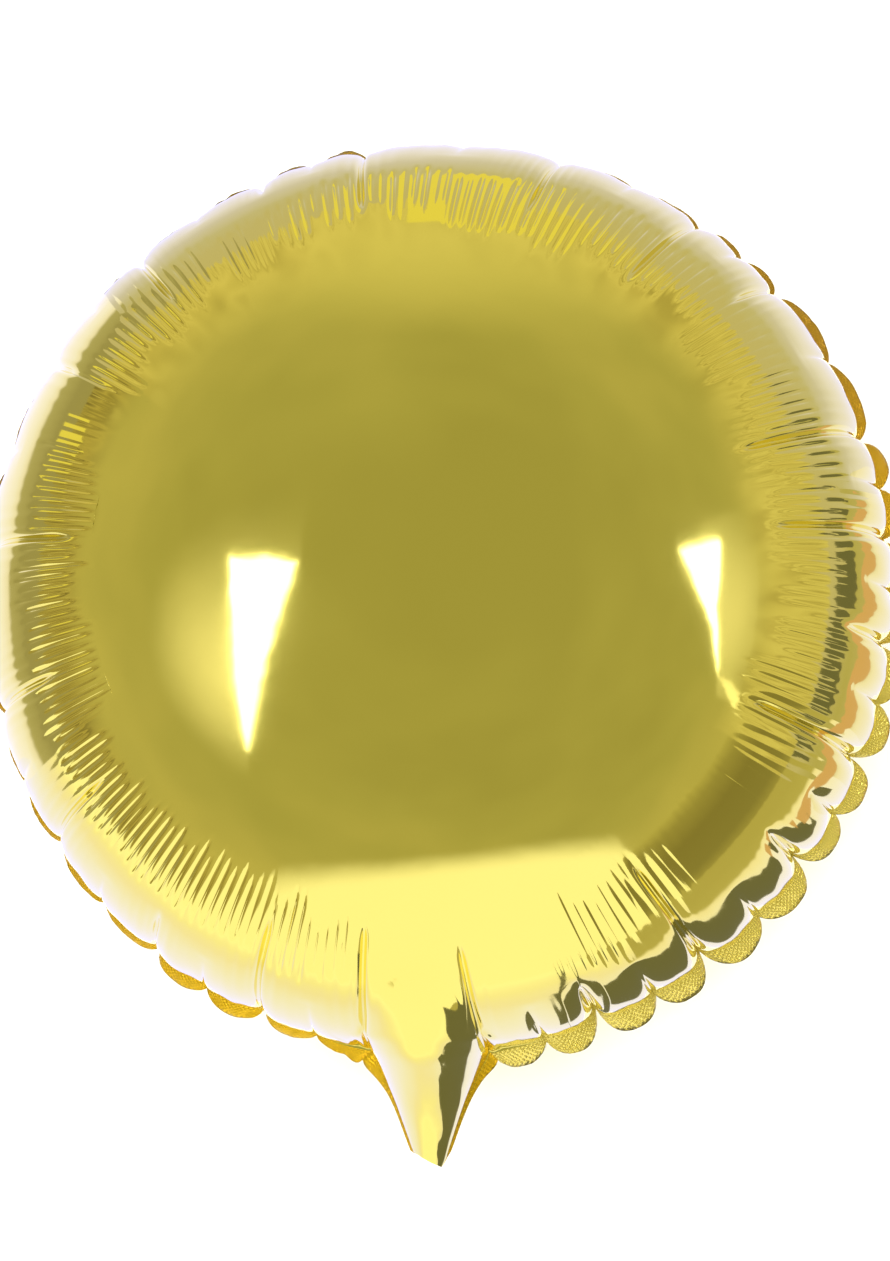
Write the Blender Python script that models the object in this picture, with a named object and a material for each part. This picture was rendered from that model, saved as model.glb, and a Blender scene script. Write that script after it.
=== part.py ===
"""A round gold foil balloon lying on its back, its neck towards -Y and its front facing up.

Two round sheets of metallised film are welded round the rim and blown up through the neck. The film
can't stretch, so the rim shrinks and gathers: deep pleats divide it into puffed lobes, short tucks
notch the lobes, and the flat weld band ruffles between them. The sealed envelope is one solid.
Angles run round the balloon from the neck, anticlockwise as seen from the front.
"""

import functools
import math

import bmesh
import bpy

# Driving sizes, in metres
SEAM_RADIUS = 0.168  # inflated, from the axis to the weld at a lobe's crest
BAND_WIDTH = 0.0068  # the flat weld band outside the seam
BAND_ROOT = 0.0022  # thickness where the band leaves the seam
BAND_EDGE = 0.0008  # thickness at the band's cut edge
NECK_LENGTH = 0.0395  # from the seam circle to the cut end
NECK_ROOT_WIDTH = 0.0385
NECK_END_WIDTH = 0.0105
NECK_FLARE = 0.0045  # what each side of the neck adds as it runs into the lobes
NECK_FLARE_RUN = 0.006
NECK_SOFTNESS = 0.011  # how far the dome's curve is softened so that it runs on along the neck
NECK_SINK = 0.012  # how far under the sheet the neck's ridge lies where it starts
NECK_END_SHARE = 0.2  # share of that curve's height that the neck's end keeps
NECK_BLEND = 0.0015
NECK_DROOP = 0.006  # how far the end hangs back
NECK_SLANT = 0.0031  # half the difference in length between the two corners of the end
NECK_BAND = 0.0009  # what shows of the weld along the neck's sides
LEFT_WEB = 0.0050  # the weld's crumpled web in the corner between rim and neck, on the -X side
RIGHT_WEB = 0.0040
FILLET = 0.0014  # softness of the corner between the rim and the neck
REST_RADIUS = 0.034  # the small flat spot that the balloon lies on
PLEAT_DEPTH = 0.0050  # at the rim, where the film is gathered most
PLEAT_GROOVE = 0.0028  # the sharp fold at the bottom of a pleat
GROOVE_RUN = 0.0011
TUCK_DEPTH = 0.0022
TUCK_GROOVE = 0.0009
SEAM_WAVE = 0.0012  # how far the seam wanders to the front and the back

# Where the deep pleats lie: degrees from the neck, how near the axis each one reaches, as a share
# of the seam's radius, and how much of the weld band shows in the lobe after it
PLEATS = (
    (7.3, 0.75, 1.0),
    (21.6, 0.90, 1.0),
    (36.8, 0.73, 0.9),
    (54.0, 0.88, 0.7),
    (68.7, 0.72, 0.7),
    (83.6, 0.87, 0.6),
    (97.0, 0.72, 0.65),
    (110.1, 0.69, 0.5),
    (131.8, 0.85, 0.32),
    (144.3, 0.72, 0.3),
    (163.6, 0.78, 0.3),
    (189.4, 0.75, 0.7),
    (203.5, 0.90, 0.7),
    (222.4, 0.76, 0.6),
    (239.8, 0.84, 0.7),
    (264.9, 0.71, 0.5),
    (286.2, 0.78, 0.3),
    (304.1, 0.77, 0.35),
    (322.5, 0.88, 0.6),
    (338.1, 0.76, 0.4),
    (352.7, 0.71, 0.4),
)
NECK_CALM = (8.0, 22.0)  # degrees from the neck between which the gathering sets in
WIDEST_PLAIN_LOBE = 11.0  # degrees: a wider lobe has a tuck in its middle
TUCK_REACH = 0.92
BAND_LEAN = 14.0  # degrees that the band leans back
RUFFLE_TILT = 9.0  # degrees that it sways to the front or the back between folds
PINCH = 0.72  # share of the band's width that a fold gathers up

# Slopes of the sheet, in degrees from level, where its rings of faces lie: 0 on the axis, 90 at
# the seam
FRONT_RINGS = (0, 4, 10, 18, 27, 35, 42, 49, 55, 62, 69, 77, 84, 90)
BACK_RINGS = (90, 78, 66, 54, 42, 30, 18, 8)
COLUMN_STEP = 2.05  # degrees

NECK_STEPS = (0.12, 0.28, 0.45, 0.62, 0.80)  # shares of its length with a column on each side


@functools.cache
def arc_height(slope):
    """Height above the seam plane, as a share of the seam's radius, where the sheet has this slope.

    A disc of film that bends but can't stretch blows up to sin(slope) = (radius share) squared.
    """
    steps = 60
    step = (math.pi / 2 - slope) / steps
    return sum(math.sqrt(math.sin(slope + (i + 0.5) * step)) for i in range(steps)) * step / 2


def blown_height(share):
    """Height of the plain blown sheet, in metres, at a share of the seam's radius."""
    if share >= 1:
        return 0.0
    return SEAM_RADIUS * arc_height(math.asin(share * share))


def smooth_step(t):
    t = min(max(t, 0.0), 1.0)
    return t * t * (3 - 2 * t)


def neck_half_width(along):
    """Half the neck tube's width at a distance from the balloon's axis, towards the neck's end."""
    share = (along - SEAM_RADIUS) / NECK_LENGTH
    taper = NECK_ROOT_WIDTH + (NECK_END_WIDTH - NECK_ROOT_WIDTH) * share
    flare = NECK_FLARE * math.exp(min(1.0, (SEAM_RADIUS - along) / NECK_FLARE_RUN))
    return taper / 2 + flare


def neck_height(along):
    """Height of the neck's ridge: the sheet's own curve, softened so that it runs on past the seam."""
    inside = SEAM_RADIUS - along
    softened = inside / 2 + math.hypot(inside / 2, NECK_SOFTNESS)
    past = max(0.0, -inside / NECK_LENGTH)
    taper = 1 - (1 - NECK_END_SHARE) * past**1.2
    sunk = NECK_SINK * (1 - smooth_step((along / SEAM_RADIUS - 0.6) / 0.3))
    return max(0.0, blown_height(max(0.0, 1 - softened / SEAM_RADIUS)) - sunk) * taper


def neck_angle(along):
    """Degrees from the neck's centre line to its side, at a distance from the axis."""
    return math.degrees(math.atan2(neck_half_width(along), along))


def neck_side(angle):
    """Radius at which the neck's side crosses a ray at this many degrees from its centre line."""
    near, far = 0.6 * SEAM_RADIUS, SEAM_RADIUS + 1.5 * NECK_LENGTH
    for _ in range(40):
        middle = (near + far) / 2
        if neck_angle(middle) > angle:
            near = middle
        else:
            far = middle
    return math.hypot(near, neck_half_width(near))


def from_neck(angle):
    """The angle from the neck, between -180 and 180 degrees."""
    return (angle + 180) % 360 - 180


@functools.cache
def outline_radius(angle):
    """Radius of the seam without its folds: a circle with the neck running out of it."""
    away = from_neck(angle)
    past = neck_side(abs(away)) - SEAM_RADIUS
    radius = SEAM_RADIUS + (past + math.hypot(past, 2 * FILLET)) / 2
    if abs(away) > 45:
        return radius
    corner = neck_angle(SEAM_RADIUS + NECK_LENGTH)
    end = SEAM_RADIUS + NECK_LENGTH + NECK_SLANT * min(1.0, max(-1.0, away / corner))
    return min(radius, end / math.cos(math.radians(away)))


def outline_point(angle):
    radius, turn = outline_radius(angle), math.radians(angle)
    return radius * math.sin(turn), -radius * math.cos(turn)


def outline_normal(angle):
    """Outward direction in the seam plane."""
    step = 0.35
    before, after = outline_point(angle - step), outline_point(angle + step)
    dx, dy = after[0] - before[0], after[1] - before[1]
    length = math.hypot(dx, dy)
    return dy / length, -dx / length


def all_folds():
    """(angle, reach, depth, groove, band) of every pleat and of the tuck in each wide lobe."""
    folds = [(angle, reach, PLEAT_DEPTH, PLEAT_GROOVE, band) for angle, reach, band in PLEATS]
    for (angle, _, band), (after, _, _) in zip(PLEATS, PLEATS[1:]):
        if after - angle > WIDEST_PLAIN_LOBE:
            folds.append(((angle + after) / 2, TUCK_REACH, TUCK_DEPTH, TUCK_GROOVE, band))
    return sorted(folds)


FOLDS = all_folds()


def folds_beside(angle):
    """The folds on either side of an angle, with how far the angle has got from one to the other."""
    angle %= 360
    for here, after in zip(FOLDS, FOLDS[1:] + [(FOLDS[0][0] + 360,) + FOLDS[0][1:]]):
        if here[0] <= angle < after[0]:
            return here, after, (angle - here[0]) / (after[0] - here[0])
    last, first = FOLDS[-1], FOLDS[0]
    span = first[0] + 360 - last[0]
    return last, first, ((angle - last[0]) % 360) / span


def gathering(angle):
    """How deep the folds cut at the rim, as a share: deepest to the right of the neck."""
    rightward = max(0.0, math.cos(math.radians(angle - 45))) ** 1.5
    from_corner = smooth_step((abs(from_neck(angle)) - NECK_CALM[0]) / (NECK_CALM[1] - NECK_CALM[0]))
    return (0.35 + 0.65 * rightward) * (0.4 + 0.6 * from_corner)


def fold_depth(angle, share, radius):
    """How far the folds draw the sheet in at this angle and share of the seam's radius."""
    here, after, along = folds_beside(angle)
    span = math.radians((after[0] - here[0]) % 360) * radius
    depth = 0.0
    for fold, near in ((here, 1 - along), (after, along)):
        _, reach, deep, groove, _ = fold
        away = (1 - near) * span
        started = smooth_step((share - reach) / 0.06)
        gathered = smooth_step((share - 0.88) / 0.12)
        lobe = max(0.0, 2 * near - 1) ** 2.2
        bulging = 0.15 * smooth_step((share - reach) / (0.95 - reach)) + 0.85 * gathered
        depth += deep * gathering(angle) * lobe * bulging
        depth += started * groove * (0.7 + 0.4 * gathered * gathering(angle)) * math.exp(-away / GROOVE_RUN)
    beyond_rim = (radius - SEAM_RADIUS) / (0.35 * NECK_LENGTH)
    return depth * (1 - smooth_step(beyond_rim))


def fold_pinch(angle):
    """1 in the middle of a lobe, falling to 1 - PINCH at the folds on either side."""
    _, _, along = folds_beside(angle)
    return 1 - PINCH * abs(2 * along - 1) ** 2.5


def ruffle(angle):
    """The band's lean out of the seam plane, in radians, negative towards the back."""
    here, _, along = folds_beside(angle)
    side = math.sin(here[0] * 2.3) + 0.4 * math.sin(here[0] * 5.1)
    return math.radians(RUFFLE_TILT * side * math.sin(math.pi * along) - BAND_LEAN)


def seam_wave(angle):
    turn = math.radians(angle)
    return SEAM_WAVE * (0.6 * math.sin(5 * turn + 0.4) + 0.4 * math.sin(11 * turn + 2.1))


def droop(along):
    past = max(0.0, (along - SEAM_RADIUS) / NECK_LENGTH)
    return NECK_DROOP * past * past


def ring_radius(slope_degrees, angle):
    """Where a ring crosses a column: towards the neck its last rings open out along the neck."""
    share = math.sqrt(math.sin(math.radians(slope_degrees)))
    beyond = outline_radius(angle) - SEAM_RADIUS
    return share * SEAM_RADIUS + beyond * max(0.0, (share - 0.8) / 0.2) ** 1.5


def sheet_point(side, slope_degrees, angle):
    """A point of the front (side 1) or back (side -1) sheet, with the seam plane at height 0."""
    radius, turn = ring_radius(slope_degrees, angle), math.radians(angle)
    share = min(1.0, radius / SEAM_RADIUS)
    slope = math.asin(share * share)
    across, along = radius * math.sin(turn), radius * math.cos(turn)
    body = blown_height(radius / SEAM_RADIUS)
    neck = bulge = 0.0
    if abs(from_neck(angle)) < 90 and along > 0:
        bulge = 1 - (across / neck_half_width(along)) ** 2
        neck = neck_height(along) * max(0.0, bulge) ** 0.65
    blend = NECK_BLEND * max(0.0, bulge) * smooth_step((along / SEAM_RADIUS - 0.8) / 0.15)
    height = (body + neck) / 2 + math.hypot((body - neck) / 2, blend)
    depth = fold_depth(angle, share, radius)
    radius -= depth * math.sin(slope)
    height -= depth * math.cos(slope) * min(1.0, height / PLEAT_DEPTH)
    level = seam_wave(angle) * share**8 - droop(along)
    height = side * (height + BAND_ROOT / 2) + level
    return radius * math.sin(turn), -radius * math.cos(turn), height


def band_width(angle):
    away = abs(from_neck(angle))
    here, _, _ = folds_beside(angle)
    rim = BAND_WIDTH * fold_pinch(angle) * here[4]
    corner = neck_angle(SEAM_RADIUS)
    end = neck_angle(SEAM_RADIUS + NECK_LENGTH)
    web = LEFT_WEB if from_neck(angle) < 0 else RIGHT_WEB
    web *= math.exp(-(((away - corner) / 3.2) ** 2))
    on_neck = smooth_step((corner - away) / (corner - end))
    at_end = 1 - smooth_step((away - 0.9 * end) / (0.5 * end))
    return (max(rim * (1 - on_neck), web) * (1 - on_neck) + NECK_BAND) * (1 - at_end)


def band_edge(side, angle):
    """A point on the weld band's cut edge, above (side 1) or below (side -1) its middle."""
    front = sheet_point(1, 90, angle)
    back = sheet_point(-1, 90, angle)
    middle = (front[2] + back[2]) / 2
    normal = outline_normal(angle)
    width, lean = band_width(angle), ruffle(angle)
    reach = width * math.cos(lean)
    height = middle + width * math.sin(lean) + side * BAND_EDGE / 2
    return front[0] + reach * normal[0], front[1] + reach * normal[1], height


def column_angles():
    """Where the columns of faces stand: evenly inside each lobe, on each fold and along the neck."""
    neck = [neck_angle(SEAM_RADIUS + share * NECK_LENGTH) for share in NECK_STEPS]
    end = neck_angle(SEAM_RADIUS + NECK_LENGTH)
    neck += [end, 0.93 * end, 0.45 * end]
    angles = [0.0] + neck + [360 - angle for angle in neck]
    for here, after in zip(FOLDS, FOLDS[1:]):
        count = max(3, round((after[0] - here[0]) / COLUMN_STEP))
        angles += [here[0] + (after[0] - here[0]) * i / count for i in range(count)]
    angles.append(FOLDS[-1][0])
    angles += [neck_angle(SEAM_RADIUS), 360 - neck_angle(SEAM_RADIUS)]
    ordered = []
    for angle in sorted(angles):
        if not ordered or angle - ordered[-1] > 0.12:
            ordered.append(angle)
    return ordered


def rings():
    """One function of the angle for each ring of points, from the front's middle to the back's."""
    made = [lambda angle, s=s: sheet_point(1, s, angle) for s in FRONT_RINGS]
    made += [lambda angle: band_edge(1, angle), lambda angle: band_edge(-1, angle)]
    made += [lambda angle, s=s: sheet_point(-1, s, angle) for s in BACK_RINGS]
    rest_slope = math.degrees(math.asin((REST_RADIUS / SEAM_RADIUS) ** 2))
    rest_height = -blown_height(REST_RADIUS / SEAM_RADIUS) - BAND_ROOT / 2

    def rest_ring(angle):
        x, y, _ = sheet_point(-1, rest_slope, angle)
        return x, y, rest_height

    made += [rest_ring, lambda angle: (0.0, 0.0, rest_height)]
    return made, -rest_height


def envelope_mesh():
    """The whole envelope, spun as a tube of rings and columns that are then set in their places."""
    angles = column_angles()
    ring_places, lift = rings()
    blank = bmesh.new()
    line = [blank.verts.new((1, 0, -ring)) for ring in range(len(ring_places))]
    edges = [blank.edges.new(pair) for pair in zip(line, line[1:])]
    bmesh.ops.spin(
        blank,
        geom=line + edges,
        cent=(0, 0, 0),
        axis=(0, 0, 1),
        dvec=(0, 0, 0),
        angle=2 * math.pi,
        steps=len(angles),
        use_merge=True,
        use_duplicate=False,
    )
    for vert in blank.verts:
        turn = math.atan2(vert.co.y, vert.co.x) / (2 * math.pi)
        angle = angles[round(turn * len(angles)) % len(angles)]
        x, y, z = ring_places[round(-vert.co.z)](angle)
        vert.co = (x, y, z + lift)
    bmesh.ops.remove_doubles(blank, verts=blank.verts, dist=1e-6)
    bmesh.ops.triangulate(blank, faces=blank.faces)
    bmesh.ops.recalc_face_normals(blank, faces=blank.faces)
    mesh = bpy.data.meshes.new("balloon_envelope")
    blank.to_mesh(mesh)
    blank.free()
    mesh.shade_smooth()
    return mesh


def gold_film():
    """Lemon-gold lacquer over vacuum-metallised film: mirror bright, a little green in the shade."""
    material = bpy.data.materials.new("gold_foil")
    material.use_nodes = True
    shader = material.node_tree.nodes["Principled BSDF"]
    shader.inputs["Base Color"].default_value = (0.90, 0.74, 0.11, 1)
    shader.inputs["Metallic"].default_value = 1.0
    shader.inputs["Roughness"].default_value = 0.07
    return material


def build():
    for old in list(bpy.data.objects):
        bpy.data.objects.remove(old)
    envelope = bpy.data.objects.new("balloon_envelope", envelope_mesh())
    envelope.data.materials.append(gold_film())
    bpy.context.scene.collection.objects.link(envelope)


build()
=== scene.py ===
"""A round gold foil balloon lying on its back on a pale floor, seen from above.

The envelope is one piece: the front sheet, the weld band and the back sheet are one blank tube of
rings and columns, subdivided where the film is creased and then blown up. Angles run round the
balloon from the neck, anticlockwise as seen from the front, as they do in the CAD.
"""

import functools
import math

import bmesh
import bpy
from mathutils import Matrix, Vector, noise


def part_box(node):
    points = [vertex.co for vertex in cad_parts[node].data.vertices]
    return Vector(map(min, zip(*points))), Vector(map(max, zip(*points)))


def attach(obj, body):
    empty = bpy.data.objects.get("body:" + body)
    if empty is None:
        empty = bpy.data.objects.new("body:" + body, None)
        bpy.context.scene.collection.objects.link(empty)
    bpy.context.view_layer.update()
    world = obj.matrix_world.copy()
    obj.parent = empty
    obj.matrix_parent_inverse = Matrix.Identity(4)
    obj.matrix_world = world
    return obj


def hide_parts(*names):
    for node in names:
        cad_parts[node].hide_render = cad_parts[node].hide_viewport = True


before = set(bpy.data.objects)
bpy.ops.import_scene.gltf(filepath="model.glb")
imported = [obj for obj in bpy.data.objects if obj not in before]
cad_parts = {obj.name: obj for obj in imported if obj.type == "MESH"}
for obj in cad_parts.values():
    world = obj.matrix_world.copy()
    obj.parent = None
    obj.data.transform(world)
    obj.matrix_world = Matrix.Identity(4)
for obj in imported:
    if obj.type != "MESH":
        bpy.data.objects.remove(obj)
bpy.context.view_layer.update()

# Sizes, in metres, as in the CAD
SEAM_RADIUS = 0.168
BAND_WIDTH = 0.0068
NECK_LENGTH = 0.0395
NECK_ROOT_WIDTH = 0.0385
NECK_END_WIDTH = 0.0105
NECK_FLARE = 0.0045
NECK_FLARE_RUN = 0.006
NECK_SOFTNESS = 0.011
NECK_SINK = 0.012
NECK_END_SHARE = 0.2
NECK_BLEND = 0.0015
NECK_DROOP = 0.006
NECK_SLANT = 0.0031
NECK_BAND = 0.0009
LEFT_WEB = 0.0050
RIGHT_WEB = 0.0040
WEB_SPREAD = 3.2  # degrees
FILLET = 0.0014
REST_RADIUS = 0.034
PLEAT_DEPTH = 0.0050
PLEAT_GROOVE = 0.0028
GROOVE_RUN = 0.0011
TUCK_DEPTH = 0.0022
TUCK_GROOVE = 0.0009
SEAM_WAVE = 0.0012

# Film and creases too fine for the CAD, in metres
BAND_ROOT = 0.0012
BAND_EDGE = 0.0004
FLUTE_DEPTH = 0.0011
RIPPLE_DEPTH = 0.00035  # of the small folds that run beside a deep pleat
RIPPLE_PITCH = 0.0042
RIPPLE_RUN = 0.0065
NECK_RIPPLE_RUN = 0.0022  # in the lobe that the neck runs out of
PUCKER_DEPTH = 0.0007  # of the crumpling next to the weld
PUCKER_PITCH = 0.011
PUCKER_RUN = 0.012
CRINKLE_DEPTH = 0.0006  # of the lengthwise crinkles on the neck
BAND_CRUMPLE = 0.0015
KNURL_PITCH = 0.0013

# Deep pleats: degrees from the neck, how near the axis each one reaches, as a share of the seam's
# radius, and how much of the weld band shows in the lobe after it
PLEATS = (
    (7.3, 0.75, 1.0),
    (21.6, 0.90, 1.0),
    (36.8, 0.73, 0.9),
    (54.0, 0.88, 0.7),
    (68.7, 0.72, 0.7),
    (83.6, 0.87, 0.6),
    (97.0, 0.72, 0.65),
    (110.1, 0.69, 0.5),
    (131.8, 0.85, 0.32),
    (144.3, 0.72, 0.3),
    (163.6, 0.78, 0.3),
    (189.4, 0.75, 0.7),
    (203.5, 0.90, 0.7),
    (222.4, 0.76, 0.6),
    (239.8, 0.84, 0.7),
    (264.9, 0.71, 0.5),
    (286.2, 0.78, 0.3),
    (304.1, 0.77, 0.35),
    (322.5, 0.88, 0.6),
    (338.1, 0.76, 0.4),
    (352.7, 0.71, 0.4),
)
NECK_CALM = (8.0, 22.0)  # degrees from the neck over which the lobes get their full depth
WIDEST_PLAIN_LOBE = 11.0  # degrees: a wider lobe has a tuck in its middle
TUCK_REACH = 0.92
RUFFLE_TILT = 9.0  # degrees
BAND_LEAN = 14.0  # degrees
PINCH = 0.72

# Shares of the seam's radius between which the sheet's features start and end
FOLD_RAMP = 0.06  # from a fold's reach to where it is at full depth
LOBES_SWELL = (0.88, 1.0)
RIPPLES_END = (0.93, 0.99)
NECK_RISES = (0.6, 0.9)
NECK_BLENDS = (0.8, 0.95)
CRINKLES_START = (0.93, 1.08)
OUTLINE_SPREADS = 0.8

# The comb of flutes: where it starts and ends, as shares of the radius, and how deep it is from each
# angle on, as a share
FLUTE_STEP = 1.6  # degrees from one flute to the next
FLUTE_SHARPNESS = 0.16  # half a groove's width, as a share of a flute
FLUTE_INNER, FLUTE_OUTER = 0.70, 0.865
FLUTE_STRENGTHS = ((20, 0.35), (43, 0.1), (66, 0.55), (101, 1.0), (240, 0.1), (250, 1.0), (351, 0.0))

# How the blank is divided
DOME_RINGS = 26  # from the axis to the first creases
CREASED_RINGS = 50  # from there to the seam
CREASE_SLOPE = 26.5  # degrees: the sheet's slope where the creases start
BAND_RINGS = 5
BAND_BACK_RINGS = 2
BACK_RINGS = (90, 84, 78, 72, 66, 60, 54, 48, 42, 36, 30, 24, 18, 12, 6)  # the back sheet's slopes
PLAIN_RINGS = 6  # by the flat spot, not subdivided
FRONT_SEAM = DOME_RINGS + CREASED_RINGS
BACK_SEAM = FRONT_SEAM + BAND_RINGS + BAND_BACK_RINGS + 1
CUTS_PER_FLUTE = 5
HEIGHT_STEPS = 900  # in the table of the blown sheet's height

# The camera
PHOTO_WIDTH, PHOTO_HEIGHT = 890, 1261
DISTANCE = 1.0
PIXELS_PER_METRE = 2692
SENSOR = 36
VIEW_LEAN = (0.0985, -0.1171, 0.988)  # from the balloon's middle towards the camera
NECK_LEAN = 0.75  # degrees that the neck points to the left of straight down in the picture
MIDDLE_PIXEL = (437, 595)  # where the balloon's middle lies in the photograph

# The studio, in metres
CEILING = 2.0
WALL_RADIUS = 3.2
CORNER_RADIUS = 3.0
FAR_HAZE_PLACE = 2.95
PANEL_PLACE = -1.6
PANEL_FOOT_PLACE = -1.58
BOARD_RADII = (0.20, 3.2)
BOARD_HEIGHT = 0.02
FLAG_HEIGHT = 0.03
BOARD_GRADING = (0.2, 1.7)  # radii between which a board's colour changes
BOARD_STRENGTH = 1.9
CREAM = "#fff9e2"
WARM_WHITE = "#fffdf6"

# Corners of the level cards overhead, in metres
LEFT_WINDOW = (
    (-0.91, 0.27),
    (-0.495, 0.24),
    (-0.575, 0.125),
    (-0.70, -0.075),
    (-0.885, -0.395),
    (-1.08, -0.735),
    (-0.995, -0.37),
    (-0.925, -0.115),
    (-0.895, 0.08),
)
RIGHT_WINDOW = (
    (1.26, 0.35),
    (1.97, 0.53),
    (1.89, 0.02),
    (2.16, -0.525),
    (1.86, -0.145),
    (1.59, 0.085),
    (1.33, 0.305),
)
LEFT_CEILING = (
    (-3.56, 1.83),
    (-0.50, 0.59),
    (-0.485, 0.245),
    (-0.565, 0.13),
    (-0.73, -0.10),
    (-1.06, -0.685),
    (-1.32, -1.25),
    (-3.56, -1.97),
)
RIGHT_CEILING = ((1.62, 0.59), (5.29, 1.84), (5.75, -2.03), (2.27, -0.73), (2.05, -0.355), (1.65, 0.195))
WINDOW_SILL = ((2.12, -0.505), (2.58, -0.645), (3.7, -1.2), (3.04, -1.07))

# Curtains round the balloon: name, the angles they span, foot and top, the pitch of their stripes,
# the heights between which they fade, and the colours of their stripes
CURTAINS = (
    (
        "left_wall",
        (235, 331),
        (-0.45, 1.6),
        0.35,
        (0.5, 1.5),
        ((0.30, "#7d7350"), (0.42, "#a09468"), (0.5, "#b9ac76"), (0.6, "#958a5e"), (0.75, "#cfc493")),
    ),
    (
        "far_wall",
        (115, 235),
        (-0.3, 2.5),
        0.40,
        (0.6, 2.4),
        ((0.30, "#b3a878"), (0.45, "#cdc290"), (0.55, "#dbd0a0"), (0.65, "#c4b886"), (0.8, "#e8deb4")),
    ),
    (
        "right_wall",
        (66, 115),
        (-0.3, 2.7),
        0.40,
        (1.3, 2.6),
        ((0.30, "#b0a576"), (0.45, "#d0c696"), (0.55, "#dbd2a4"), (0.65, "#c2b787"), (0.8, "#e8deb4")),
    ),
)
CORNER_SPAN = (33, 66)
CORNER_HEIGHTS = (-0.2, 1.75)
CORNER_SHADE = ((0.0, "#aea678"), (0.25, "#8b8560"), (0.6, "#87805a"), (0.85, "#9d966a"), (1.0, "#b9b281"))

# Boards on the floor: name, the angles they span, and their colours from the balloon outwards
BOARDS = (
    (
        "far_floor",
        (108, 228),
        ((0.0, "#bcbbe6"), (0.053, "#b2b1de"), (0.107, "#9f9dc0"), (0.2, "#96939b"), (0.4, "#95908f")),
    ),
    (
        "left_floor",
        (228, 290),
        ((0.0, "#c6c6f2"), (0.10, "#bfbeea"), (0.14, "#b8b5d4"), (0.165, "#878374"), (0.4, "#787466")),
    ),
    (
        "near_floor",
        (-70, 28),
        ((0.0, "#bfc0ff"), (0.08, "#bebff4"), (0.2, "#bebad0"), (0.35, "#c2bfc0"), (0.7, "#cbcbc8")),
    ),
    (
        "corner_floor",
        (28, 66),
        ((0.0, "#bfc0ff"), (0.08, "#c0bfe6"), (0.19, "#beb9c4"), (0.22, "#8d8766"), (0.5, "#8a8463")),
    ),
    (
        "right_floor",
        (66, 108),
        ((0.0, "#bfc0f4"), (0.06, "#bbb8d0"), (0.10, "#8f8a78"), (0.2, "#8b866c"), (0.5, "#95908f")),
    ),
)

# Dark cards flat above the floor: (radius, degrees from the neck) of their corners
FLAGS = {
    "right_flag": ((0.47, 89), (0.50, 103), (1.25, 103), (1.25, 87)),
    "side_flag": ((0.66, 70), (0.60, 84), (2.8, 84), (2.8, 70)),
    "lower_flag": ((0.23, 19), (0.37, 20), (0.38, 34), (0.35, 47), (0.33, 60), (0.26, 62), (0.22, 42)),
    "root_flag": ((0.235, 14.5), (0.235, 18), (0.47, 18.7), (0.47, 15.2)),
}
WARM_CARD = ((0.31, 58), (0.39, 56), (0.39, 80), (0.38, 106), (0.31, 106), (0.29, 80))

# The upright dark card beside the neck: its angle, and the (radius, height) of its corners
NECK_FLAG_ANGLE = 18
NECK_FLAG = ((0.15, 0.022), (0.40, 0.022), (0.40, 0.165), (0.235, 0.13), (0.19, 0.07))


def ramp(value, start, end):
    """0 at the start and before it, 1 from the end on, and smooth between them."""
    t = min(max((value - start) / (end - start), 0.0), 1.0)
    return t * t * (3 - 2 * t)


def jitter(*seeds):
    """A number between 0 and 1 that looks random and is the same each run."""
    spot = [seed * 1.37 + 5.1 * i for i, seed in enumerate(seeds)] + [0] * (3 - len(seeds))
    return noise.cell(Vector(spot)) % 1.0


@functools.cache
def arc_height(slope):
    """Height of the blown sheet at this slope, for a seam radius of 1."""
    steps = 60
    step = (math.pi / 2 - slope) / steps
    return sum(math.sqrt(math.sin(slope + (i + 0.5) * step)) for i in range(steps)) * step / 2


HEIGHT_TABLE = [
    SEAM_RADIUS * arc_height(math.pi / 2 * i / HEIGHT_STEPS) for i in range(HEIGHT_STEPS + 1)
]


def blown_height(slope):
    """Height of the plain blown sheet above the seam plane where it has this slope, in radians."""
    place = slope / (math.pi / 2) * HEIGHT_STEPS
    low = min(int(place), HEIGHT_STEPS - 1)
    return HEIGHT_TABLE[low] + (HEIGHT_TABLE[low + 1] - HEIGHT_TABLE[low]) * (place - low)


def neck_half_width(along):
    share = (along - SEAM_RADIUS) / NECK_LENGTH
    taper = NECK_ROOT_WIDTH + (NECK_END_WIDTH - NECK_ROOT_WIDTH) * share
    flare = NECK_FLARE * math.exp(min(1.0, (SEAM_RADIUS - along) / NECK_FLARE_RUN))
    return taper / 2 + flare


def neck_height(along):
    """Height of the neck's ridge: the sheet's own curve, softened so that it runs on past the seam."""
    inside = SEAM_RADIUS - along
    softened = inside / 2 + math.hypot(inside / 2, NECK_SOFTNESS)
    slope = math.asin(max(0.0, 1 - softened / SEAM_RADIUS) ** 2)
    past = max(0.0, -inside / NECK_LENGTH)
    taper = 1 - (1 - NECK_END_SHARE) * past**1.2
    sunk = NECK_SINK * (1 - ramp(along / SEAM_RADIUS, *NECK_RISES))
    return max(0.0, blown_height(slope) - sunk) * taper


def neck_angle(along):
    """Degrees from the neck's middle to its side, at this distance from the axis."""
    return math.degrees(math.atan2(neck_half_width(along), along))


def neck_side(angle):
    """Distance from the axis at which the neck's side lies at this angle, found by halving."""
    near, far = 0.6 * SEAM_RADIUS, SEAM_RADIUS + 1.5 * NECK_LENGTH
    for _ in range(40):
        middle = (near + far) / 2
        if neck_angle(middle) > angle:
            near = middle
        else:
            far = middle
    return math.hypot(near, neck_half_width(near))


def from_neck(angle):
    return (angle + 180) % 360 - 180


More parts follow.
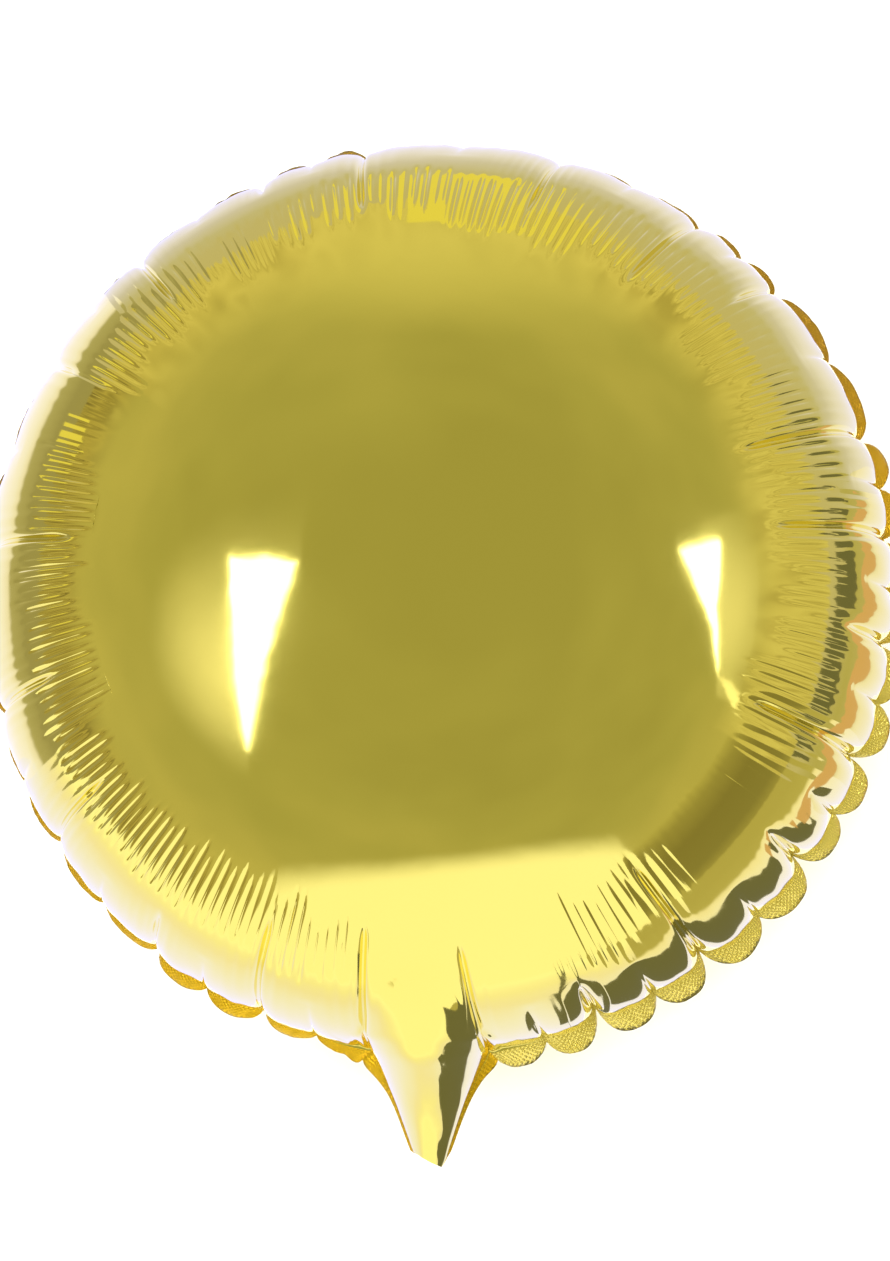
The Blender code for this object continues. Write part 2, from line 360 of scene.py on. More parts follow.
@functools.cache
def outline_radius(angle):
    """Radius of the seam without its folds: a circle with the neck running out of it."""
    away = from_neck(angle)
    past = neck_side(abs(away)) - SEAM_RADIUS
    radius = SEAM_RADIUS + (past + math.hypot(past, 2 * FILLET)) / 2
    if abs(away) > 45:
        return radius
    corner = neck_angle(SEAM_RADIUS + NECK_LENGTH)
    end = SEAM_RADIUS + NECK_LENGTH + NECK_SLANT * min(1.0, max(-1.0, away / corner))
    return min(radius, end / math.cos(math.radians(away)))


@functools.cache
def outline_normal(angle):
    """The outline's outward direction in the seam plane."""
    step = 0.35
    ends = []
    for side in (angle - step, angle + step):
        radius, turn = outline_radius(side), math.radians(side)
        ends.append((radius * math.sin(turn), -radius * math.cos(turn)))
    dx, dy = ends[1][0] - ends[0][0], ends[1][1] - ends[0][1]
    length = math.hypot(dx, dy)
    return dy / length, -dx / length


def all_folds():
    """(angle, reach, depth, groove, band) of every pleat and of the tuck in each wide lobe."""
    folds = [(angle, reach, PLEAT_DEPTH, PLEAT_GROOVE, band) for angle, reach, band in PLEATS]
    for (angle, _, band), (after, _, _) in zip(PLEATS, PLEATS[1:]):
        if after - angle > WIDEST_PLAIN_LOBE:
            folds.append(((angle + after) / 2, TUCK_REACH, TUCK_DEPTH, TUCK_GROOVE, band))
    return sorted(folds)


FOLDS = all_folds()


@functools.cache
def folds_beside(angle):
    """The folds on either side of an angle, and how far the angle has got from one to the other."""
    angle %= 360
    for here, after in zip(FOLDS, FOLDS[1:]):
        if here[0] <= angle < after[0]:
            return here, after, (angle - here[0]) / (after[0] - here[0])
    last, first = FOLDS[-1], FOLDS[0]
    return last, first, ((angle - last[0]) % 360) / (first[0] + 360 - last[0])


def column_angles():
    """Where the blank's columns stand: one to a flute, and one on each fold."""
    angles = []
    for here, after in zip(FOLDS, FOLDS[1:] + [(FOLDS[0][0] + 360,)]):
        span = after[0] - here[0]
        count = max(2, round(span / FLUTE_STEP))
        angles += [here[0] + span * i / count for i in range(count)]
    return angles


COLUMNS = column_angles()


def gathering(angle):
    """How deep the folds cut at the rim, as a share: deepest to the right of the neck."""
    rightward = max(0.0, math.cos(math.radians(angle - 45))) ** 1.5
    from_corner = ramp(abs(from_neck(angle)), *NECK_CALM)
    return (0.35 + 0.65 * rightward) * (0.4 + 0.6 * from_corner)


def ripple_depth(place, share, away, run):
    """The small folds that run beside the deep pleat at this place, at a distance from it."""
    wave = math.cos(2 * math.pi * away / (RIPPLE_PITCH * (0.8 + 0.5 * jitter(place, 3))))
    return RIPPLE_DEPTH * (1 - ramp(share, *RIPPLES_END)) * wave * math.exp(-away / run)


def fold_depth(angle, share, radius):
    """How far the folds and the small ripples beside them draw the sheet in."""
    here, after, along = folds_beside(angle)
    span = math.radians((after[0] - here[0]) % 360) * radius
    ripple_run = NECK_RIPPLE_RUN if here is FOLDS[-1] else RIPPLE_RUN
    gathered = ramp(share, *LOBES_SWELL)
    depth = 0.0
    for fold, near in ((here, 1 - along), (after, along)):
        place, reach, deep, groove, _ = fold
        started = ramp(share, reach, reach + FOLD_RAMP)
        if started <= 0:
            continue
        away = (1 - near) * span
        lobe = max(0.0, 2 * near - 1) ** 2.2
        bulging = 0.15 * ramp(share, reach, 0.95) + 0.85 * gathered
        depth += deep * gathering(angle) * lobe * bulging
        cut = groove * (0.7 + 0.4 * gathered * gathering(angle))
        depth += started * cut * math.exp(-away / GROOVE_RUN)
        if groove == PLEAT_GROOVE:
            depth += started * ripple_depth(place, share, away, ripple_run)
    return depth * (1 - ramp(radius, SEAM_RADIUS, SEAM_RADIUS + 0.35 * NECK_LENGTH))


def flute_strength(angle):
    """The flutes are deepest over the top and down the left, and there are none at the neck."""
    strength = 0.0
    for start, share in FLUTE_STRENGTHS:
        if angle % 360 > start:
            strength = share
    return strength


def flute_depth(column, angle, share):
    """The comb of fine flutes across the lobes: a narrow groove on each column, flat film between."""
    number = round(column)
    away = abs(column - number)
    here, _, along = folds_beside(angle)
    lobe = here[0]
    beside_fold = 1 - math.sin(math.pi * along)
    inner = FLUTE_INNER + 0.06 * (jitter(lobe, 1) - 0.4) + 0.04 * jitter(number, 2) + 0.03 * beside_fold
    inner -= 0.05 * max(0.0, math.cos(math.radians(angle - 275))) ** 3
    outer = FLUTE_OUTER + 0.03 * (jitter(lobe, 3) - 0.5) + 0.02 * jitter(number, 4)
    outer += 0.025 * math.cos(math.radians(angle - 80))
    window = ramp(share, inner, inner + 0.03) * (1 - ramp(share, outer - 0.025, outer))
    if window <= 0:
        return 0.0
    depth = FLUTE_DEPTH * (0.35 + 0.65 * jitter(number, 5)) * (0.6 + 0.55 * jitter(lobe, 6))
    return depth * flute_strength(angle) * window * math.exp(-((away / FLUTE_SHARPNESS) ** 1.5))


def pucker_depth(angle, share, side):
    """Crumpling that the weld's gathers leave in the sheet next to them."""
    inward = (1 - share) * SEAM_RADIUS * 2.2
    if inward > 4 * PUCKER_RUN:
        return 0.0
    turn = math.radians(angle)
    around = SEAM_RADIUS / PUCKER_PITCH
    depthwise = 0.35 * side * (1 + inward / PUCKER_PITCH)
    spot = Vector((around * math.sin(turn), around * math.cos(turn), depthwise))
    return PUCKER_DEPTH * noise.noise(spot * 1.7) * math.exp(-inward / PUCKER_RUN)


def fold_pinch(angle):
    """Share of the band's width that is left: all of it in the middle of a lobe, least at a fold."""
    _, _, along = folds_beside(angle)
    return 1 - PINCH * abs(2 * along - 1) ** 2.5


def ruffle(angle):
    """The band's lean out of the seam plane, in radians, negative towards the back."""
    here, _, along = folds_beside(angle)
    side = math.sin(here[0] * 2.3) + 0.4 * math.sin(here[0] * 5.1)
    return math.radians(RUFFLE_TILT * side * math.sin(math.pi * along) - BAND_LEAN)


def seam_wave(angle):
    turn = math.radians(angle)
    return SEAM_WAVE * (0.6 * math.sin(5 * turn + 0.4) + 0.4 * math.sin(11 * turn + 2.1))


def droop(along):
    past = max(0.0, (along - SEAM_RADIUS) / NECK_LENGTH)
    return NECK_DROOP * past * past


def neck_crinkle(across, along, side):
    """Lengthwise crinkles on the neck, deepest on its +X half."""
    past = ramp(along / SEAM_RADIUS, *CRINKLES_START)
    if past <= 0:
        return 0.0
    coarse = noise.noise(Vector((across / 0.0042, along / 0.016, side * 3.0)))
    fine = noise.noise(Vector((across / 0.0016, along / 0.0042, side * 5.0)))
    strength = 1.3 if across > 0 else 0.5
    return CRINKLE_DEPTH * past * (coarse + 0.3 * fine) * strength


def sheet_point(side, slope_degrees, angle, column):
    """A point of the front (side 1) or back (side -1) sheet, with the seam plane at height 0."""
    share = math.sqrt(math.sin(math.radians(slope_degrees)))
    beyond = outline_radius(angle) - SEAM_RADIUS
    spread = max(0.0, (share - OUTLINE_SPREADS) / (1 - OUTLINE_SPREADS)) ** 1.5
    radius = share * SEAM_RADIUS + beyond * spread
    turn = math.radians(angle)
    share = min(1.0, radius / SEAM_RADIUS)
    slope = math.asin(share * share)
    across, along = radius * math.sin(turn), radius * math.cos(turn)
    body = blown_height(slope)
    neck = bulge = 0.0
    if abs(from_neck(angle)) < 90 and along > 0:
        bulge = 1 - (across / neck_half_width(along)) ** 2
        neck = neck_height(along) * max(0.0, bulge) ** 0.65
    blend = NECK_BLEND * max(0.0, bulge) * ramp(along / SEAM_RADIUS, *NECK_BLENDS)
    height = (body + neck) / 2 + math.hypot((body - neck) / 2, blend)
    depth = fold_depth(angle, share, radius)
    if side > 0:
        depth += flute_depth(column, angle, share)
    depth += pucker_depth(angle, share, side) * (1 - ramp(neck, 0, 0.008))
    radius -= depth * math.sin(slope)
    height -= depth * math.cos(slope) * min(1.0, height / PLEAT_DEPTH)
    if neck > 0:
        height -= neck_crinkle(across, along, side) * min(1.0, height / PLEAT_DEPTH)
    level = seam_wave(angle) * share**8 - droop(along)
    height = side * (height + BAND_ROOT / 2) + level
    return Vector((radius * math.sin(turn), -radius * math.cos(turn), height))


def band_width(angle):
    away = abs(from_neck(angle))
    here, _, _ = folds_beside(angle)
    rim = BAND_WIDTH * fold_pinch(angle) * here[4]
    corner = neck_angle(SEAM_RADIUS)
    end = neck_angle(SEAM_RADIUS + NECK_LENGTH)
    web = LEFT_WEB if from_neck(angle) < 0 else RIGHT_WEB
    web *= math.exp(-(((away - corner) / WEB_SPREAD) ** 2))
    on_neck = ramp(away, corner, end)
    at_end = 1 - ramp(away, 0.9 * end, 1.4 * end)
    return (max(rim * (1 - on_neck), web) * (1 - on_neck) + NECK_BAND) * (1 - at_end)


@functools.cache
def band_frame(angle):
    """The seam's middle at this angle, the band's width there and its lean."""
    front = sheet_point(1, 90, angle, 0.0)
    back = sheet_point(-1, 90, angle, 0.0)
    return (front + back) / 2, band_width(angle), ruffle(angle)


def band_point(side, out, angle):
    """A point of the band's front or back face, out being 0 at the seam and 1 at the cut edge."""
    middle, width, lean = band_frame(angle)
    normal = outline_normal(angle)
    run = width * out
    turn = math.radians(angle)
    spot = Vector((60 * math.sin(turn), 60 * math.cos(turn), 1.4 * out))
    crumple = BAND_CRUMPLE * out * noise.noise(spot) * width / BAND_WIDTH
    thick = BAND_ROOT + (BAND_EDGE - BAND_ROOT) * out
    height = middle.z + run * math.sin(lean) * (0.5 + 0.5 * out) + crumple + side * thick / 2
    reach = run * math.cos(lean)
    return Vector((middle.x + reach * normal[0], middle.y + reach * normal[1], height))


def ring_places():
    """A function of (angle, column) for each ring, from the front's middle to the back's."""
    dome = [CREASE_SLOPE * (i / DOME_RINGS) ** 1.6 for i in range(DOME_RINGS)]
    step = (90 - CREASE_SLOPE) / CREASED_RINGS
    creased = [CREASE_SLOPE + step * i for i in range(CREASED_RINGS + 1)]
    made = [lambda a, c, s=s: sheet_point(1, s, a, c) for s in dome + creased]
    outs = [(i + 1) / BAND_RINGS for i in range(BAND_RINGS)]
    back_outs = [2 * (i + 1) / BAND_RINGS for i in reversed(range(BAND_BACK_RINGS))]
    made += [lambda a, c, o=o: band_point(1, o, a) for o in outs]
    made += [lambda a, c, o=o: band_point(-1, o, a) for o in back_outs]
    made += [lambda a, c, s=s: sheet_point(-1, s, a, c) for s in BACK_RINGS]
    share = REST_RADIUS / SEAM_RADIUS
    rest_slope = math.degrees(math.asin(share * share))
    rest_height = -CAD_MIDDLE

    def rest_ring(angle, column):
        point = sheet_point(-1, rest_slope, angle, column)
        return Vector((point.x, point.y, rest_height))

    made += [rest_ring, lambda a, c: Vector((0, 0, rest_height))]
    return made


def envelope_bmesh():
    """A tube with a ring for each place and a column for each flute, finer where it is creased."""
    places = ring_places()
    blank = bmesh.new()
    line = [blank.verts.new((1, 0, -ring)) for ring in range(len(places))]
    edges = [blank.edges.new(pair) for pair in zip(line, line[1:])]
    bmesh.ops.spin(
        blank,
        geom=line + edges,
        cent=(0, 0, 0),
        axis=(0, 0, 1),
        dvec=(0, 0, 0),
        angle=2 * math.pi,
        steps=len(COLUMNS),
        use_merge=True,
        use_duplicate=False,
    )
    hoops = [e for e in blank.edges if abs(e.verts[0].co.z - e.verts[1].co.z) < 0.01]
    fine = [e for e in hoops if DOME_RINGS <= round(-e.verts[0].co.z) <= BACK_SEAM]
    middling = [e for e in hoops if BACK_SEAM < round(-e.verts[0].co.z) < len(places) - PLAIN_RINGS]
    bmesh.ops.subdivide_edges(blank, edges=fine, cuts=CUTS_PER_FLUTE, use_grid_fill=True)
    bmesh.ops.subdivide_edges(blank, edges=middling, cuts=1, use_grid_fill=True)
    return blank, places


def set_places(blank, places):
    """Moves the tube's points to the blown envelope, and keeps where each one was on the tube."""
    count = len(COLUMNS)
    closed = COLUMNS + [COLUMNS[0] + 360]
    flat = {}
    for vert in blank.verts:
        column = (math.atan2(vert.co.y, vert.co.x) / (2 * math.pi) * count) % count
        if abs(column - round(column)) < 1e-3:
            column = round(column) % count
        number = int(column)
        angle = closed[number] + (closed[number + 1] - closed[number]) * (column - number)
        ring = round(-vert.co.z)
        flat[vert] = (angle, ring)
        vert.co = places[ring](angle, column)
        vert.co.z += CAD_MIDDLE
    return flat


def gold_envelope():
    """The whole balloon, with the weld band in a material and a UV map of its own."""
    blank, places = envelope_bmesh()
    flat = set_places(blank, places)
    layer = blank.loops.layers.uv.new("rim")
    rim = 2 * math.pi * SEAM_RADIUS
    for face in blank.faces:
        rings = [flat[vert][1] for vert in face.verts]
        face.material_index = 1 if FRONT_SEAM <= min(rings) and max(rings) <= BACK_SEAM else 0
        face.smooth = True
        angles = [flat[loop.vert][0] for loop in face.loops]
        for loop, angle in zip(face.loops, angles):
            if angle < max(angles) - 180:
                angle += 360
            loop[layer].uv = (angle / 360 * rim, flat[loop.vert][1] * BAND_WIDTH / BAND_RINGS)
    bmesh.ops.remove_doubles(blank, verts=blank.verts, dist=1e-6)
    bmesh.ops.recalc_face_normals(blank, faces=blank.faces)
    mesh = bpy.data.meshes.new("gold_envelope")
    blank.to_mesh(mesh)
    blank.free()
    piece = bpy.data.objects.new("gold_envelope", mesh)
    bpy.context.scene.collection.objects.link(piece)
    return piece


def linear(hex_colour):
    """An sRGB hex colour as the linear RGBA that shaders work in."""
    parts = [int(hex_colour[i : i + 2], 16) / 255 for i in (1, 3, 5)]
    return [c / 12.92 if c <= 0.04045 else ((c + 0.055) / 1.055) ** 2.4 for c in parts] + [1.0]


def add_node(material, kind, settings=None, inputs=None):
    """Adds a node. An input's value is a plain value or the output socket that feeds it."""
    tree = material.node_tree
    node = tree.nodes.new(kind)
    for name, value in (settings or {}).items():
        setattr(node, name, value)
    for name, value in (inputs or {}).items():
        if isinstance(value, bpy.types.NodeSocket):
            tree.links.new(value, node.inputs[name])
        else:
            node.inputs[name].default_value = value
    return node


def range_inputs(value, source, target=(0.0, 1.0)):
    """What a Map Range node takes to turn one range of a value into another."""
    ends = {"From Min": source[0], "From Max": source[1], "To Min": target[0], "To Max": target[1]}
    return {"Value": value} | ends


def set_stops(colour_ramp, stops):
    """Gives a colour ramp these (position, hex colour) stops."""
    elements = colour_ramp.color_ramp.elements
    while len(elements) < len(stops):
        elements.new(1.0)
    for element, (position, colour) in zip(elements, stops):
        element.position = position
        element.color = linear(colour)


def new_material(name):
    material = bpy.data.materials.new(name)
    material.use_nodes = True
    material.node_tree.nodes.clear()
    return material


def metallised_film():
    """Polyester film, vacuum-metallised and lacquered lemon gold: a mirror with a green-gold tint."""
    material = new_material("metallised_film")
    place = add_node(material, "ShaderNodeTexCoord").outputs["Object"]
    cloud = add_node(
        material,
        "ShaderNodeTexNoise",
        inputs={"Vector": place, "Scale": 14.0, "Detail": 3.0, "Roughness": 0.55},
    )
    tint = add_node(
        material,
        "ShaderNodeMix",
        {"data_type": "RGBA"},
        {"Factor": cloud.outputs["Fac"], "A": linear("#f7ea7e"), "B": linear("#faed86")},
    )
    haze = add_node(
        material,
        "ShaderNodeMapRange",
        inputs=range_inputs(cloud.outputs["Fac"], (0.3, 0.7), (0.045, 0.085)),
    )
    grain = add_node(material, "ShaderNodeTexNoise", inputs={"Vector": place, "Scale": 55.0, "Detail": 2.0})
    bump = add_node(
        material,
        "ShaderNodeBump",
        inputs={"Height": grain.outputs["Fac"], "Strength": 0.12, "Distance": 0.0004},
    )
    shader = add_node(
        material,
        "ShaderNodeBsdfPrincipled",
        inputs={
            "Base Color": tint.outputs["Result"],
            "Metallic": 1.0,
            "Roughness": haze.outputs["Result"],
            "Normal": bump.outputs["Normal"],
        },
    )
    add_node(material, "ShaderNodeOutputMaterial", inputs={"Surface": shader.outputs["BSDF"]})
    return material


def knurled_weld():
    """The same film where a heated, knurled wheel has welded it: deeper gold, with a fine lattice. Its
    colour also changes round the balloon to paint the reflections seen on the band: pale gold below the
    right, orange at the right, brown over the top, orange-gold at the left.
    """
    material = new_material("knurled_weld")
    rim = add_node(material, "ShaderNodeUVMap", {"uv_map": "rim"}).outputs["UV"]
    pitches = (1 / KNURL_PITCH, 1 / KNURL_PITCH, 1)
    ridges = []
    for turn in (45, -45):
        lattice = add_node(
            material,
            "ShaderNodeMapping",
            inputs={"Vector": rim, "Rotation": (0, 0, math.radians(turn)), "Scale": pitches},
        )
        wave = add_node(
            material,
            "ShaderNodeTexWave",
            inputs={
                "Vector": lattice.outputs["Vector"],
                "Scale": 1 / math.pi,
                "Distortion": 0.4,
                "Detail": 0.0,
            },
        )
        ridges.append(wave.outputs["Fac"])
    knurl = add_node(material, "ShaderNodeMath", {"operation": "MULTIPLY"}, {0: ridges[0], 1: ridges[1]})
    parts = add_node(material, "ShaderNodeSeparateXYZ", inputs={"Vector": rim})
    place = add_node(
        material,
        "ShaderNodeMapRange",
        inputs=range_inputs(parts.outputs["X"], (0.0, 2 * math.pi * SEAM_RADIUS)),
    )
    # The weld's colour by its angle round the balloon: partly the weld's deeper gold, partly painted
    # reflection, pale gold below the right, orange at the right, brown over the top and orange-gold at the
    # left.
    tint = add_node(material, "ShaderNodeValToRGB", inputs={"Fac": place.outputs["Result"]})
    weld_golds_and_painted_reflections = ((0.27, "#f4c22c"), (0.34, "#d0a23c"), (0.6, "#bfa050"), (0.8, "#e0b03a"), (0.92, "#f8cb2c"))
    set_stops(tint, ((0.0, "#f2df74"), (0.22, "#f2df74")) + weld_golds_and_painted_reflections)
    bump = add_node(
        material,
        "ShaderNodeBump",
        inputs={"Height": knurl.outputs["Value"], "Strength": 0.8, "Distance": 0.0003},
    )
    shader = add_node(
        material,
        "ShaderNodeBsdfPrincipled",
        inputs={
            "Base Color": tint.outputs["Color"],
            "Metallic": 0.85,
            "Roughness": 0.18,
            "Normal": bump.outputs["Normal"],
        },
    )
    add_node(material, "ShaderNodeOutputMaterial", inputs={"Surface": shader.outputs["BSDF"]})
    return material


def glow(name, colour, strength=1.0):
    """A card or a window that shines evenly."""
    material = new_material(name)
    light = add_node(material, "ShaderNodeEmission", inputs={"Color": linear(colour), "Strength": strength})
    add_node(material, "ShaderNodeOutputMaterial", inputs={"Surface": light.outputs["Emission"]})
    return material


def graded_glow(name, axis, reach, stops, strength=1.0):
    """Emission graded along an object axis, or by the distance from the origin."""
    material = new_material(name)
    place = add_node(material, "ShaderNodeTexCoord").outputs["Object"]
    if axis == "radius":
        away = add_node(material, "ShaderNodeVectorMath", {"operation": "LENGTH"}, {0: place})
        distance = away.outputs["Value"]
    else:
        distance = add_node(material, "ShaderNodeSeparateXYZ", inputs={"Vector": place}).outputs[axis]
    share = add_node(material, "ShaderNodeMapRange", inputs=range_inputs(distance, reach))
    colours = add_node(material, "ShaderNodeValToRGB", inputs={"Fac": share.outputs["Result"]})
    set_stops(colours, stops)
    light = add_node(
        material,
        "ShaderNodeEmission",
        inputs={"Color": colours.outputs["Color"], "Strength": strength},
    )
    add_node(material, "ShaderNodeOutputMaterial", inputs={"Surface": light.outputs["Emission"]})
    return material


def thin_out(material, colour, strength, clearness):
    """Ends a card's material: it glows where the clearness is 0 and isn't there where it is 1."""
    light = add_node(material, "ShaderNodeEmission", inputs={"Color": colour, "Strength": strength})
    clear = add_node(material, "ShaderNodeBsdfTransparent")
    mixed = add_node(
        material,
        "ShaderNodeMixShader",
        inputs={0: clearness, 1: light.outputs["Emission"], 2: clear.outputs["BSDF"]},
    )
    add_node(material, "ShaderNodeOutputMaterial", inputs={"Surface": mixed.outputs["Shader"]})


def halo_glow(name, colour, centre, scale, thickest=1.0, core=0.0, strength=1.0):
    """A pale patch that thins out to nothing round its core, which is a share of its size."""
    material = new_material(name)
    place = add_node(material, "ShaderNodeTexCoord").outputs["Object"]
    placed = add_node(
        material,
        "ShaderNodeMapping",
        {"vector_type": "TEXTURE"},
        {"Vector": place, "Location": centre, "Scale": scale},
    )
    away = add_node(
        material,
        "ShaderNodeVectorMath",
        {"operation": "LENGTH"},
        {0: placed.outputs["Vector"]},
    )
    share = add_node(
        material,
        "ShaderNodeMapRange",
        {"interpolation_type": "SMOOTHSTEP"},
        range_inputs(away.outputs["Value"], (core, 1.0), (1 - thickest, 1.0)),
    )
    thin_out(material, linear(colour), strength, share.outputs["Result"])
    return material


def curtain_glow(name, stops, pitch, fade):
    """Emission in uneven upright stripes, as of curtains and stands, fading into the air above."""
    material = new_material(name)
    place = add_node(material, "ShaderNodeTexCoord").outputs["Object"]
    stretched = add_node(
        material,
        "ShaderNodeMapping",
        inputs={"Vector": place, "Scale": (1 / pitch, 1 / pitch, 0.25 / pitch)},
    )
    stripes = add_node(
        material,
        "ShaderNodeTexNoise",
        inputs={"Vector": stretched.outputs["Vector"], "Scale": 1.0, "Detail": 1.5, "Roughness": 0.6},
    )
    colours = add_node(material, "ShaderNodeValToRGB", inputs={"Fac": stripes.outputs["Fac"]})
    set_stops(colours, stops)
    rise = add_node(material, "ShaderNodeSeparateXYZ", inputs={"Vector": place}).outputs["Z"]
    faded = add_node(
        material,
        "ShaderNodeMapRange",
        {"interpolation_type": "SMOOTHSTEP"},
        range_inputs(rise, fade),
    )
    thin_out(material, colours.outputs["Color"], 1.0, faded.outputs["Result"])
    return material


def stage_card(name, shape, material):
    """Stands a studio card or softbox face: the camera doesn't see it, only its reflection."""
    mesh = bpy.data.meshes.new(name)
    shape.to_mesh(mesh)
    shape.free()
    mesh.materials.append(material)
    piece = bpy.data.objects.new(name, mesh)
    bpy.context.scene.collection.objects.link(piece)
    piece.visible_camera = False
    piece.visible_diffuse = False
    piece.visible_shadow = False


def card(name, corners, material):
    """A flat card with these corners."""
    shape = bmesh.new()
    shape.faces.new([shape.verts.new(corner) for corner in corners])
    stage_card(name, shape, material)


def swept_card(name, profile, span, material):
    """A card swept round the balloon between two angles, from a line of (radius, height)."""
    start, end = span
    shape = bmesh.new()
    line = [shape.verts.new((0, -radius, height)) for radius, height in profile]
    edge = shape.edges.new(line)
    turn = Matrix.Rotation(math.radians(start), 3, "Z")
    bmesh.ops.rotate(shape, verts=line, cent=(0, 0, 0), matrix=turn)
    bmesh.ops.spin(
        shape,
        geom=line + [edge],
        cent=(0, 0, 0),
        axis=(0, 0, 1),
        dvec=(0, 0, 0),
        angle=math.radians(end - start),
        steps=max(4, round((end - start) / 6)),
        use_merge=False,
        use_duplicate=False,
    )
    stage_card(name, shape, material)


def overhead_card(name, places, height, material):
    """A level card overhead, from the (x, y) of its corners."""
    card(name, [(x, y, height) for x, y in places], material)


def upright_card(name, place, sides, heights, material):
    """An upright card across the neck's direction, from its sides' x and its foot and top."""
    (left, right), (foot, top) = sides, heights
    corners = ((left, foot), (right, foot), (right, top), (left, top))
    card(name, [(x, place, z) for x, z in corners], material)


def on_floor(radius, degrees, height):
    """A point at this radius and angle from the neck."""
    turn = math.radians(degrees)
    return radius * math.sin(turn), -radius * math.cos(turn), height


def windows():
    """Two tall windows over the balloon, the paler ceiling beside each of them, and a sill."""
    haze_height = CEILING + 0.03
    white = glow("window_pane", "#ffffff", 6.0)
    overhead_card("left_window", LEFT_WINDOW, CEILING, white)
    overhead_card("right_window", RIGHT_WINDOW, CEILING, white)
    haze = halo_glow("left_ceiling", CREAM, (-0.95, -0.27, haze_height), (1.15, 0.80, 1))
    overhead_card("left_ceiling", LEFT_CEILING, haze_height, haze)
    haze = halo_glow("right_ceiling", CREAM, (2.2, -0.05, haze_height), (1.7, 1.2, 1), thickest=0.75)
    overhead_card("right_ceiling", RIGHT_CEILING, haze_height, haze)
    overhead_card("window_sill", WINDOW_SILL, CEILING - 0.01, glow("window_sill", "#fffbe6", 1.3))


def panels():
    """The bright panel on the neck's side, which is wider at its foot."""
    centre = (0.2, PANEL_PLACE, 0.3)
    panel = halo_glow("neck_side_panel", WARM_WHITE, centre, (1.66, 1, 1.85), core=0.74, strength=1.13)
    upright_card("neck_side_panel", PANEL_PLACE, (-1.04, 1.22), (-0.2, 2.3), panel)
    centre = (-1.0, PANEL_FOOT_PLACE, 0.2)
    foot = halo_glow("panel_foot", WARM_WHITE, centre, (0.62, 1, 0.62), core=0.55, strength=1.13)
    upright_card("panel_foot", PANEL_FOOT_PLACE, (-1.62, -0.7), (-0.2, 0.82), foot)


def walls():
    """Curtains round the balloon, a haze in front of the far one, and a dark corner."""
    for name, span, heights, pitch, fade, stops in CURTAINS:
        profile = [(WALL_RADIUS, height) for height in heights]
        swept_card(name, profile, span, curtain_glow(name, stops, pitch, fade))
    haze = halo_glow("far_haze", "#e2daa8", (-0.2, FAR_HAZE_PLACE, 1.6), (2.8, 1, 2.6), thickest=0.6)
    upright_card("far_haze", FAR_HAZE_PLACE, (-3.0, 3.0), (-0.3, 4.3), haze)
    profile = [(CORNER_RADIUS, height) for height in CORNER_HEIGHTS]
    shade = graded_glow("dark_corner", "Z", CORNER_HEIGHTS, CORNER_SHADE)
    swept_card("dark_corner", profile, CORNER_SPAN, shade)


def ground():
    """Boards on the floor round the balloon, and the cards that colour its rim."""
    profile = [(radius, BOARD_HEIGHT) for radius in BOARD_RADII]
    for name, span, stops in BOARDS:
        board = graded_glow(name, "radius", BOARD_GRADING, stops, BOARD_STRENGTH)
        swept_card(name, profile, span, board)
    lemon = glow("lemon_card", "#ebe188")
    swept_card("far_lemon_card", ((0.45, 0.06), (0.85, 0.34)), (168, 187), lemon)
    swept_card("left_lemon_card", ((0.9, 0.03), (0.9, 0.24)), (244, 251), lemon)
    dark = glow("dark_flag", "#6f6f65")
    for name, places in FLAGS.items():
        card(name, [on_floor(radius, angle, FLAG_HEIGHT) for radius, angle in places], dark)
    card("neck_flag", [on_floor(radius, NECK_FLAG_ANGLE, height) for radius, height in NECK_FLAG], dark)
    warm = glow("warm_card", "#dab3a0")
    card("warm_card", [on_floor(radius, angle, FLAG_HEIGHT) for radius, angle in WARM_CARD], warm)


def floor_light():
    """A large soft light overhead that whitens the floor and is kept out of the mirror."""
    lamp = bpy.data.lights.new("floor_light", "AREA")
    lamp.size = 3.2
    lamp.energy = 190
    piece = bpy.data.objects.new("floor_light", lamp)
    piece.location = (0, 0, 3)
    piece.visible_camera = False
    piece.visible_glossy = False
    bpy.context.scene.collection.objects.link(piece)


def floor():
    """A plain pale floor, wide enough for every view."""
    bpy.ops.mesh.primitive_plane_add(size=14, location=(0, 0, 0))
    plane = bpy.context.object
    plane.name = "floor"
    material = new_material("painted_floor")
    shader = add_node(
        material,
        "ShaderNodeBsdfPrincipled",
        inputs={"Base Color": linear("#f7f7f6"), "Roughness": 0.7, "Specular IOR Level": 0.2},
    )
    add_node(material, "ShaderNodeOutputMaterial", inputs={"Surface": shader.outputs["BSDF"]})
    plane.data.materials.append(material)


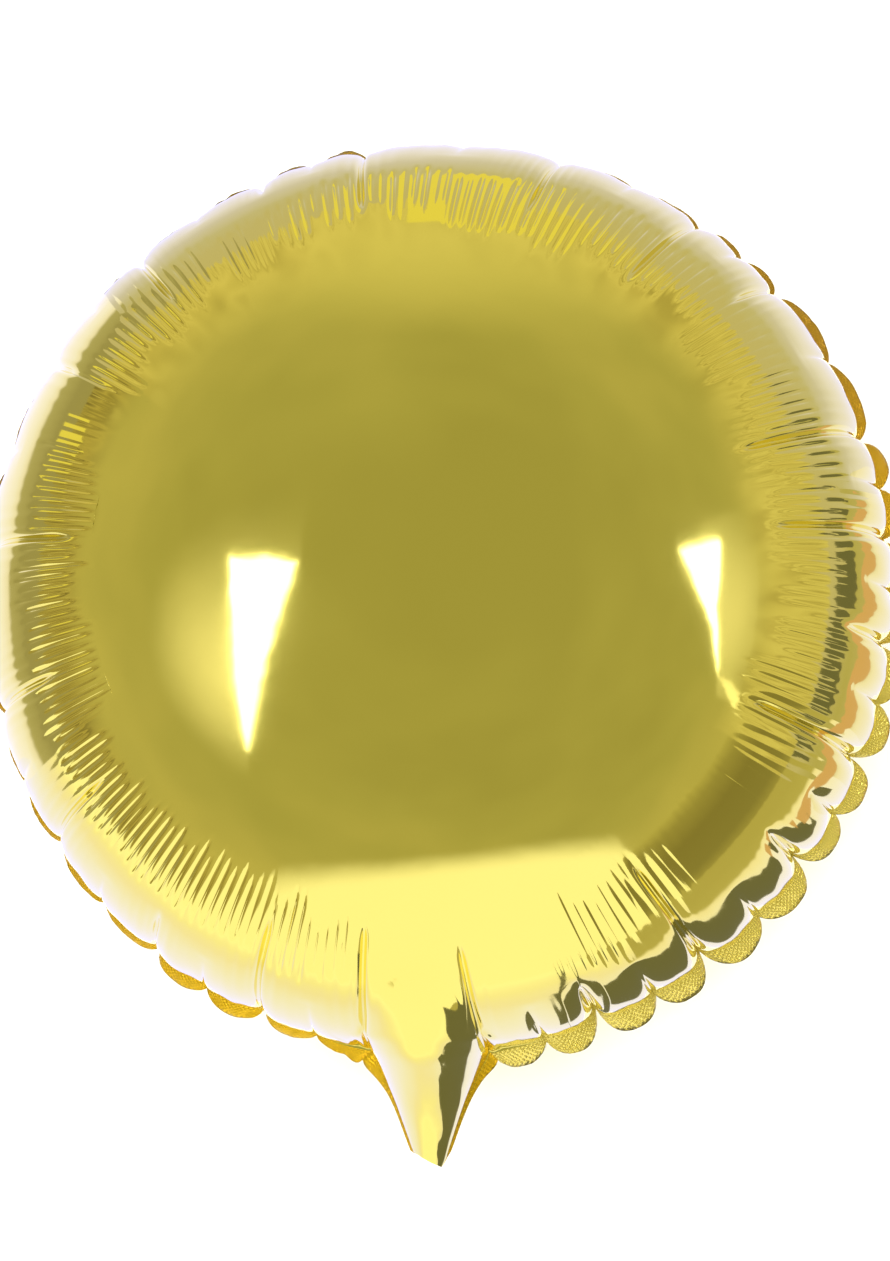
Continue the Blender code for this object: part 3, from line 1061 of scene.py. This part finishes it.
def studio_air():
    """A dim, uneven ceiling that pales towards the horizon."""
    world = bpy.data.worlds.new("studio_air")
    world.use_nodes = True
    world.node_tree.nodes.clear()
    bpy.context.scene.world = world
    way = add_node(world, "ShaderNodeTexCoord").outputs["Generated"]
    parts = add_node(world, "ShaderNodeSeparateXYZ", inputs={"Vector": way})
    cloud = add_node(
        world,
        "ShaderNodeTexNoise",
        inputs={"Vector": way, "Scale": 2.3, "Detail": 2.5, "Roughness": 0.55},
    )
    drift = add_node(
        world,
        "ShaderNodeMapRange",
        inputs=range_inputs(cloud.outputs["Fac"], (0.3, 0.7), (0.22, -0.22)),
    )
    uneven = add_node(world, "ShaderNodeMath", inputs={0: parts.outputs["Z"], 1: drift.outputs["Result"]})
    colours = add_node(world, "ShaderNodeValToRGB", inputs={"Fac": uneven.outputs["Value"]})
    paling = ((0.0, "#cbc193"), (0.25, "#c0b98a"), (0.5, "#b8b284"), (0.75, "#aeaa7b"), (1.0, "#a5a172"))
    set_stops(colours, paling)
    air = add_node(
        world,
        "ShaderNodeBackground",
        inputs={"Color": colours.outputs["Color"], "Strength": 1.0},
    )
    add_node(world, "ShaderNodeOutputWorld", inputs={"Surface": air.outputs["Background"]})


def camera():
    """Looks down on the balloon from the photograph's place."""
    middle = Vector((0, 0, CAD_MIDDLE))
    lean = Vector(VIEW_LEAN).normalized()
    place = middle + DISTANCE * lean
    turn = math.radians(NECK_LEAN)
    up = Vector((-math.sin(turn), math.cos(turn), 0))
    up = (up - up.dot(lean) * lean).normalized()
    right = up.cross(lean)
    rise = (PHOTO_HEIGHT / 2 - MIDDLE_PIXEL[1]) / PIXELS_PER_METRE
    shift = (MIDDLE_PIXEL[0] - PHOTO_WIDTH / 2) / PIXELS_PER_METRE
    target = middle - up * rise * DISTANCE - right * shift * DISTANCE
    back = (place - target).normalized()
    right = up.cross(back).normalized()
    up = back.cross(right)
    data = bpy.data.cameras.new("camera")
    data.lens = SENSOR * PIXELS_PER_METRE * DISTANCE / PHOTO_HEIGHT
    data.sensor_width = SENSOR
    eye = bpy.data.objects.new("camera", data)
    eye.matrix_world = Matrix.Translation(place) @ Matrix((right, up, back)).transposed().to_4x4()
    bpy.context.scene.collection.objects.link(eye)
    bpy.context.scene.camera = eye


low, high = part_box("balloon_envelope")
CAD_MIDDLE = high[2] / 2

camera()
floor()
studio_air()
windows()
panels()
walls()
ground()
floor_light()
bpy.context.scene.view_settings.view_transform = "Standard"

envelope = gold_envelope()
envelope.data.materials.append(metallised_film())
envelope.data.materials.append(knurled_weld())
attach(envelope, "root")
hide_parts("balloon_envelope")
